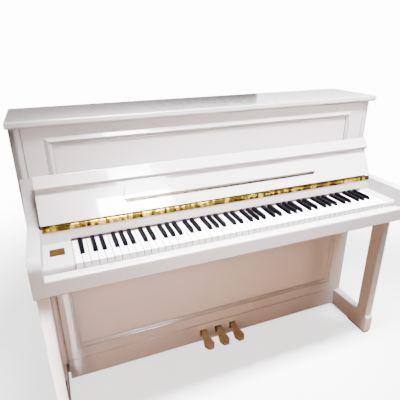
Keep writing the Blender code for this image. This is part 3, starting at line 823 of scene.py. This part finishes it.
def fallboard_hinge():
    """A leaf screwed to the rail, and knuckles that belong to the case and to the board by turns."""
    low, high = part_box("fallboard_hinge")
    half = high.x
    corners = rectangle((low.y, low.z), (low.y + HINGE_LEAF, HINGE.z - 0.0012))
    maker = prism(rounded(corners, [0.0004, 0, 0, 0.0004], 3), -half, half, "X")
    piece("board_hinge_leaf", maker, "hinge_brass", ROOT, ["fallboard_hinge"], 0.0003, 2, 60)
    bodies, axis = (ROOT, "fallboard"), (HINGE.y, HINGE.z)
    knuckles("board_hinge", "hinge_brass", bodies, axis, half, KNUCKLE - CLEAR, KNUCKLE_PITCH)
    place = (low.y + 0.0002, low.z + 0.0062)
    hinge_screws("board_hinge_screws", "hinge_brass", half, 13, place, (0, -1, 0), 0.0026)


def music_shelf():
    """The fold-out ledge, with rounded top corners and tapered ends, and the thin hinge at its foot."""
    half = high_of("music_shelf").x
    taper, tall, thick, out, slope = 0.008, 0.052, 0.010, 0.0005, 0.0045
    corners = [(half, 0.0), (half - taper, tall), (-half + taper, tall), (-half, 0.0)]
    outline = rounded(corners, [0.002, 0.016, 0.016, 0.002], 12)
    pin_along, pin_out = along_board(SHELF_PIN)
    foot = pin_along + 0.0020
    maker = skin([
        [(x, *on_board(foot + max(up, rise), depth)) for x, up in outline]
        for depth, rise in ((out, 0.0), (out + thick, slope))
    ])
    piece("music_ledge", maker, "lacquer", "music_shelf", ["music_shelf"], 0.0018, 4, 50)
    half = high_of("music_shelf_hinge").x
    low, high = pin_along - 0.0055, pin_along - SHELF_KNUCKLE * 0.6
    corners = rectangle((low, 0.0003), (high, 0.0011))
    outline = [on_board(*p) for p in rounded(corners, [0, 0, 0.0003, 0.0004], 3)]
    maker = prism(outline, -half, half, "X")
    piece("ledge_hinge_leaf", maker, "ledge_brass", "fallboard", ["music_shelf_hinge"], 0.0002, 2, 60)
    bodies, axis = ("fallboard", "music_shelf"), on_board(pin_along, pin_out)
    knuckles("ledge_hinge", "ledge_brass", bodies, axis, half, SHELF_KNUCKLE - CLEAR, KNUCKLE_PITCH)


# ---- pedals ----


def pedals():
    """Each pedal, whose front part droops from a bend in front of the case, and its rod."""
    for word in ("left", "middle", "right"):
        node = f"pedal_{word}"
        low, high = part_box(node)
        x = (low.x + high.x) / 2
        pivot = joint_place(f"{node}_press")
        shoulder, bend = KEY_FRONT + 0.240, KEY_FRONT + 0.252
        arm_half, tip_half, tip = 0.011, high.x - x, low.y
        tip_long, tip_corner, under, over, droop = 0.022, 0.013, 0.007, 0.005, 0.12
        corners = [
            (x - arm_half, high.y), (x - arm_half, shoulder),
            (x - tip_half, tip + tip_long), (x - tip_half + tip_corner, tip),
            (x + tip_half - tip_corner, tip), (x + tip_half, tip + tip_long),
            (x + arm_half, shoulder), (x + arm_half, high.y),
        ]
        outline = rounded(corners, [0.001, 0.020, 0.009, 0.008, 0.008, 0.009, 0.020, 0.001], 5)
        maker = prism(outline, pivot.z - under, pivot.z + over, "Z")
        cuts = [e for e in maker.edges if abs(e.verts[0].co.z - e.verts[1].co.z) > 0.001]
        bmesh.ops.subdivide_edges(maker, edges=cuts, cuts=1)
        parts = [*maker.verts, *maker.edges, *maker.faces]
        bmesh.ops.bisect_plane(maker, geom=parts, plane_co=(0, bend, 0), plane_no=(0, 1, 0))
        for vertex in maker.verts:
            vertex.co.z -= droop * max(0.0, bend - vertex.co.y)
        piece(f"{word}_pedal", maker, "pedal_brass", node, [node], 0.0032, 5, 50)
        node = f"pedal_rod_{word}"
        middle = middle_of(node)
        ends = [(middle.x, middle.y, end.z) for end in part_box(node)]
        maker = rod(*ends, 0.0058, 20)
        piece(f"{word}_pedal_dowel", maker, "beech_z", f"rod_{word}", [node], sharp=50)


# ---- inside ----

# The notes: all, those with dampers, those with wound strings, and those with one string
NOTES, DAMPED, WOUND, SINGLE = 88, 66, 30, 10
ACTION_LEFT = low_of("hammers").x + 0.006
ACTION_RIGHT = high_of("hammers").x - 0.006


def note_x(note):
    return ACTION_LEFT + (ACTION_RIGHT - ACTION_LEFT) * note / (NOTES - 1)


def inner_frame():
    """The keybed, the rail under the keys, and the posts and beams of the back."""
    copied_piece("key_bed", "keybed", "beech_x", 0.0015)
    copied_piece("key_balance_rail", "balance_rail", "beech_x", 0.0010)
    copied_piece("action_rail", "action_frame", "cast_iron", 0.0012)
    low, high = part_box("back_frame")
    posts, post, top_beam, bottom_beam = 5, 0.075, 0.150, 0.110
    bay = (high.x - low.x - posts * post) / (posts - 1)
    uprights = bmesh.new()
    for i in range(posts):
        x = low.x + i * (bay + post)
        under, over = low.z + bottom_beam + 2 * CLEAR, high.z - top_beam - 2 * CLEAR
        block((x, low.y, under), (x + post, high.y, over), uprights)
    piece("back_posts", uprights, "beech_z", ROOT, ["back_frame"], 0.0030)
    beams = bmesh.new()
    block(low, (high.x, high.y, low.z + bottom_beam), beams)
    block((low.x, low.y, high.z - top_beam), high, beams)
    piece("back_beams", beams, "beech_x", edge=0.0030)
    ribs = bmesh.new()
    board = high_of("soundboard")
    slope, rib, deep, first, pitch, room = 0.55, 0.022, 0.016, -0.10, 0.115, 0.004
    for i in range(posts - 1):
        left = low.x + post + i * (bay + post) + 0.002
        right = left + bay - 0.004
        for k in range(-2, 9):
            foot = first + pitch * k + slope * (left - low.x)
            head = foot + slope * (right - left)
            if foot < low.z + bottom_beam + room or head + rib > high.z - top_beam - room:
                continue
            outline = [(left, foot), (right, head), (right, head + rib), (left, foot + rib)]
            prism(outline, board.y + 0.0003, board.y + deep, "Y", ribs)
    piece("soundboard_ribs", ribs, "spruce", edge=0.0030)
    copied_piece("sound_board", "soundboard", "spruce", 0.0010)


def string_plane():
    """The cast plate with its bolts, and the strings from their tuning pins to their hitch pins."""
    copied_piece("cast_plate", "iron_plate", "cast_iron", 0.0022)
    low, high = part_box("iron_plate")
    bolts = bmesh.new()
    for x in evenly(low.x + 0.015, high.x - 0.015, 11):
        for z in (low.z + 0.030, high.z - 0.008):
            screw_head((x, PLATE_FACE, z), (0, -1, 0), 0.0055, bolts)
    piece("plate_bolts", bolts, "steel")
    pins, plain, wound, coils, hitch = (bmesh.new() for _ in range(5))
    spacing, pin_rows, lowest_row, row_pitch = 0.0042, 4, 0.992, 0.017
    pin = [(0.0032, 0), (0.0032, 0.011), (0.0026, 0.0125), (0.0026, 0.0165), (0.0018, 0.0170)]
    for note in range(NOTES):
        bass = note < WOUND
        per_note = 1 if note < SINGLE else 2 if bass else 3
        foot_z = 0.205 if bass else 0.245
        plane = STRING_Y + (-0.0006 if bass else 0.0006)
        radius = 0.0013 - 0.00003 * note if bass else 0.00045
        strand = wound if bass else plain
        for k in range(per_note):
            x = note_x(note) + (k - (per_note - 1) / 2) * spacing
            row = lowest_row + row_pitch * ((note * 3 + k) % pin_rows)
            foot_x = x * 0.985 + (0.030 if bass else -0.004)
            rod((x, plane, row), (foot_x, plane, foot_z), radius, 5, strand)
            turned((x, PLATE_FACE, row), (0, -1, 0), pin, 8, pins)
            turned((x, PLATE_FACE - 0.0035, row), (0, -1, 0), [(0.0042, 0), (0.0042, 0.004)], 10, coils)
            rod((foot_x, PLATE_FACE, foot_z), (foot_x, STRING_Y - 0.003, foot_z), 0.0012, 6, hitch)
    piece("tuning_pins", pins, "steel", sharp=50)
    piece("pin_coils", coils, "steel", sharp=50)
    piece("hitch_pins", hitch, "steel", sharp=50)
    piece("plain_strings", plain, "steel", ROOT, ["strings"], sharp=80)
    piece("wound_strings", wound, "copper", sharp=80)
    bar_y, bar_z = STRING_Y - 0.0045, 0.962
    bar = rod((-0.630, bar_y, bar_z), (0.636, bar_y, bar_z), 0.003, 12)
    piece("pressure_bar", bar, "steel", sharp=50)


def hammer_row():
    """A felt head on a wooden moulding, a shank and a butt for each note, and the rail they rest on."""
    lean = high_of("hammers").y - 0.048
    felts, mouldings, shanks = bmesh.new(), bmesh.new(), bmesh.new()
    head = [(0.014, 0.9262), (0.036, 0.9232), (0.0470, 0.9300), (0.0474, 0.9375), (0.036, 0.9440)]
    head.append((0.014, 0.9452))
    outline = [(lean + y, z) for y, z in rounded(head, [0.003, 0.010, 0.007, 0.007, 0.010, 0.003], 4)]
    core = ((-0.001, 0.9300), (0.030, 0.9310), (0.030, 0.9370), (-0.001, 0.9390))
    butt = ((-0.011, 0.8190), (0.003, 0.8190), (0.002, 0.840), (-0.008, 0.840))
    core, butt = ([(lean + y, z) for y, z in corners] for corners in (core, butt))
    for note in range(NOTES):
        x = note_x(note)
        half = 0.0050 - 0.0016 * note / NOTES
        prism(outline, x - half, x + half, "X", felts)
        prism(core, x - half - 0.0003, x + half + 0.0003, "X", mouldings)
        prism(butt, x - 0.0045, x + 0.0045, "X", mouldings)
        rod((x, lean - 0.003, 0.836), (x, lean + 0.0055, 0.934), 0.0027, 8, shanks)
    piece("hammer_heads", felts, "hammer_felt", "hammer_rest", ["hammers"], 0.0008, 2)
    piece("hammer_mouldings", mouldings, "beech_z", "hammer_rest", edge=0.0005, steps=2)
    piece("hammer_shanks", shanks, "beech_z", "hammer_rest", sharp=60)
    low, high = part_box("hammer_rest_rail")
    maker = block(low, (high.x, high.y - 0.004, high.z))
    piece("rest_rail", maker, "beech_x", "hammer_rest", ["hammer_rest_rail"], 0.0015)
    maker = block((low.x, high.y - 0.0038, low.z + 0.004), (high.x, high.y + 0.006, high.z - 0.004))
    piece("rest_rail_felt", maker, "felt_green", "hammer_rest", edge=0.0030)


def dampers_and_muffler():
    """The muffler rail with its felt, and the lift rail with a wire, block and felt for each note."""
    low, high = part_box("muffler_rail")
    split = low.z + 0.026
    maker = block((low.x, low.y, split), high)
    piece("muffler_bar", maker, "beech_x", "muffler", ["muffler_rail"], 0.0008)
    maker = block((low.x + 0.004, low.y + 0.001, low.z), (high.x - 0.004, high.y - 0.001, split + 0.004))
    piece("muffler_felt", maker, "felt_green", "muffler", edge=0.0008)
    copied_piece("damper_bar", "damper_lift_rail", "steel", 0.0010, body="damper_lift")
    blocks, felts, wires = bmesh.new(), bmesh.new(), bmesh.new()
    rail = middle_of("damper_lift_rail")
    head, face = STRING_Y - 0.0200, STRING_Y - 0.0022
    for note in range(DAMPED):
        x = note_x(note)
        block((x - 0.0045, head, 0.870), (x + 0.0045, head + 0.0100, 0.898), blocks)
        block((x - 0.0050, head + 0.0101, 0.868), (x + 0.0050, face, 0.900), felts)
        rod((x, rail.y, rail.z + 0.003), (x, head + 0.002, 0.876), 0.0010, 6, wires)
    piece("damper_blocks", blocks, "beech_z", "damper_lift", edge=0.0010, steps=2)
    piece("damper_felts", felts, "hammer_felt", "damper_lift", edge=0.0012, steps=2)
    piece("damper_wires", wires, "steel", "damper_lift", sharp=60)


def lid_hinge():
    low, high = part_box("lid_hinge")
    pin = joint_place("lid_hinge")
    leaf = block((low.x, pin.y - HINGE_LEAF, low.z), (high.x, pin.y, pin.z - 0.0020))
    piece("lid_hinge_leaf", leaf, "lid_brass", ROOT, ["lid_hinge"], 0.0003, 2)
    knuckles("lid_hinge", "lid_brass", (ROOT, "lid"), (pin.y, pin.z), high.x, KNUCKLE, LID_KNUCKLE_PITCH)
    place = (pin.y - 0.0002, low.z + 0.009)
    hinge_screws("lid_hinge_screws", "lid_brass", high.x, 15, place, (0, 1, 0), 0.0028)


# ---- stage ----

FLOOR_RADIUS, FLOOR_THICK, FLOOR_DROP = 6.0, 0.02, 0.0002
FLOOR_FADE = (0.9, 2.6)
WHITE = (1.0, 1.0, 1.0)

# A strip over the keys, a soft key on the right, a light on the lid's left, low fills for the lower
# panel and the left leg, and one behind. Each has a name, place, target, size, power, colour and spread
# in degrees, and gloss shows it unless it ends in False.
LIGHTS = (
    ("strip", (0.3, -0.40, 1.95), (0.3, -0.30, 0.8), (1.7, 0.2), 84, (0.96, 0.98, 1.0), 62),
    ("key_light", (1.6, -1.5, 1.6), (0.1, 0.0, 1.0), (1.5, 0.3), 12, (1.0, 0.88, 0.84), 36, False),
    ("lid_light", (-0.7, 0.7, 2.3), (-0.7, 0.15, 1.1), (1.3, 0.7), 13, (1.0, 0.96, 0.97), 80, False),
    ("low_fill", (-1.1, -2.0, 0.45), (-0.25, 0.0, 0.22), (1.4, 0.4), 4.2, (1.0, 0.56, 0.35), 50),
    ("leg_fill", (-0.80, -0.90, 0.30), (-0.73, -0.285, 0.30), (0.04, 0.45), 0.85, (1.0, 0.95, 0.93), 10),
    ("rear_light", (-1.2, 3.0, 0.9), (0.0, 0.2, 0.5), (1.6, 1.2), 25, WHITE, 180, False),
)

# The reflections on the flap, fallboard and lid: name, left, right, low, high, y, radiance and facing
CARDS = (
    ("window_low", -0.28, 0.44, 1.84, 2.03, -2.2, 230, 1),
    ("window_high", -0.06, 0.44, 2.16, 3.30, -2.2, 130, 1),
    ("lid_card", 1.865, 3.95, 1.30, 2.00, 3.0, 4, -1),
)


def aim(item, place, target):
    item.location = place
    item.rotation_euler = (Vector(target) - Vector(place)).to_track_quat("-Z", "Y").to_euler()


def area_light(name, place, target, size, power, colour=WHITE, spread=180, glossy=True):
    light = bpy.data.lights.new(name, "AREA")
    light.shape = "RECTANGLE"
    light.size, light.size_y = size
    light.energy = power
    light.color = colour
    light.spread = math.radians(spread)
    item = bpy.data.objects.new(name, light)
    aim(item, place, target)
    item.visible_camera = False
    item.visible_glossy = glossy
    bpy.context.scene.collection.objects.link(item)
    return item


def mirror_card(name, left, right, low, high, y, radiance, facing):
    """An upright card that only shows as a reflection in gloss. It faces +Y (1) or -Y (-1)."""
    size = (right - left, high - low)
    middle = ((left + right) / 2, y, (low + high) / 2)
    power = radiance * math.pi * size[0] * size[1]
    card = area_light(name, middle, (middle[0], y + facing, middle[2]), size, power)
    card.visible_diffuse = False


def pale_floor():
    """A pale floor under and round the piano, which thins out to nothing farther off."""
    maker = prism(arc((0, 0), FLOOR_RADIUS, 0, 360, 96)[:-1], -FLOOR_THICK, 0.0, "Z")
    bmesh.ops.recalc_face_normals(maker, faces=maker.faces)
    mesh = bpy.data.meshes.new("floor")
    maker.to_mesh(mesh)
    maker.free()
    item = bpy.data.objects.new("floor", mesh)
    item.location.z = -FLOOR_DROP
    bpy.context.scene.collection.objects.link(item)
    made = Finish("pale_floor")
    node, link = made.node, made.link
    ray, far = node("ShaderNodeLightPath"), node("ShaderNodeVectorMath")
    nothing, mix = node("ShaderNodeBsdfTransparent"), node("ShaderNodeMixShader")
    far.operation = "LENGTH"
    pale = made.blend(made.noise(1.5, 2.0), (0.86, 0.85, 0.84), (0.90, 0.89, 0.88))
    made.colour(made.blend(ray.outputs["Is Camera Ray"], (0.29, 0.172, 0.10), pale))
    made.roughness(made.noise(8.0, 3.0), 0.5, 0.6)
    fade = map_range(made.tree, far.outputs["Value"], 0.35, 1.0, FLOOR_FADE)
    fade.interpolation_type = "SMOOTHSTEP"
    link(made.place, far.inputs[0])
    link(fade.outputs["Result"], mix.inputs["Fac"])
    link(made.shader.outputs["BSDF"], mix.inputs[1])
    link(nothing.outputs["BSDF"], mix.inputs[2])
    link(mix.outputs["Shader"], made.tree.nodes["Material Output"].inputs["Surface"])
    mesh.materials.append(made.made)


def surround():
    """A backdrop the camera sees as white. Its light on the piano is dim, and dimmer from the left."""
    world = bpy.data.worlds.new("surround")
    bpy.context.scene.world = world
    world.use_nodes = True
    tree = world.node_tree
    tree.nodes.clear()
    node, link = tree.nodes.new, tree.links.new
    place, parts = node("ShaderNodeTexCoord"), node("ShaderNodeSeparateXYZ")
    ray, mix = node("ShaderNodeLightPath"), node("ShaderNodeMixShader")
    out = node("ShaderNodeOutputWorld")
    soft = filled(node("ShaderNodeBackground"), Color=(1.0, 0.86, 0.80, 1.0))
    plain = filled(node("ShaderNodeBackground"), Color=(*WHITE, 1.0), Strength=14.0)
    fade = map_range(tree, parts.outputs["X"], 0.06, 0.13, (-0.9, 0.2))
    link(place.outputs["Generated"], parts.inputs["Vector"])
    link(fade.outputs["Result"], soft.inputs["Strength"])
    link(ray.outputs["Is Camera Ray"], mix.inputs["Fac"])
    link(soft.outputs["Background"], mix.inputs[1])
    link(plain.outputs["Background"], mix.inputs[2])
    link(mix.outputs["Shader"], out.inputs["Surface"])


def studio():
    pale_floor()
    surround()
    for light in LIGHTS:
        area_light(*light)
    for card in CARDS:
        mirror_card(*card)


def camera():
    """The photograph's viewing angle: from near the left end of the keys, and from above them."""
    data = bpy.data.cameras.new("camera")
    data.lens, data.sensor_width = 34.63, 36.0
    item = bpy.data.objects.new("camera", data)
    yaw, pitch, roll, level = (math.radians(a) for a in (-21.48, -22.86, 0.41, 90.0))
    turn = Matrix.Rotation(yaw, 4, "Z") @ Matrix.Rotation(pitch, 4, "X")
    turn = turn @ Matrix.Rotation(roll, 4, "Y") @ Matrix.Rotation(level, 4, "X")
    item.matrix_world = Matrix.Translation((-0.604, -1.310, 1.343)) @ turn
    bpy.context.scene.collection.objects.link(item)
    bpy.context.scene.camera = item


camera()
studio()
case()
key_slip()
key_blocks_and_rail()
keyboard()
fallboard()
fallboard_hinge()
music_shelf()
pedals()
inner_frame()
string_plane()
hammer_row()
dampers_and_muffler()
lid_hinge()
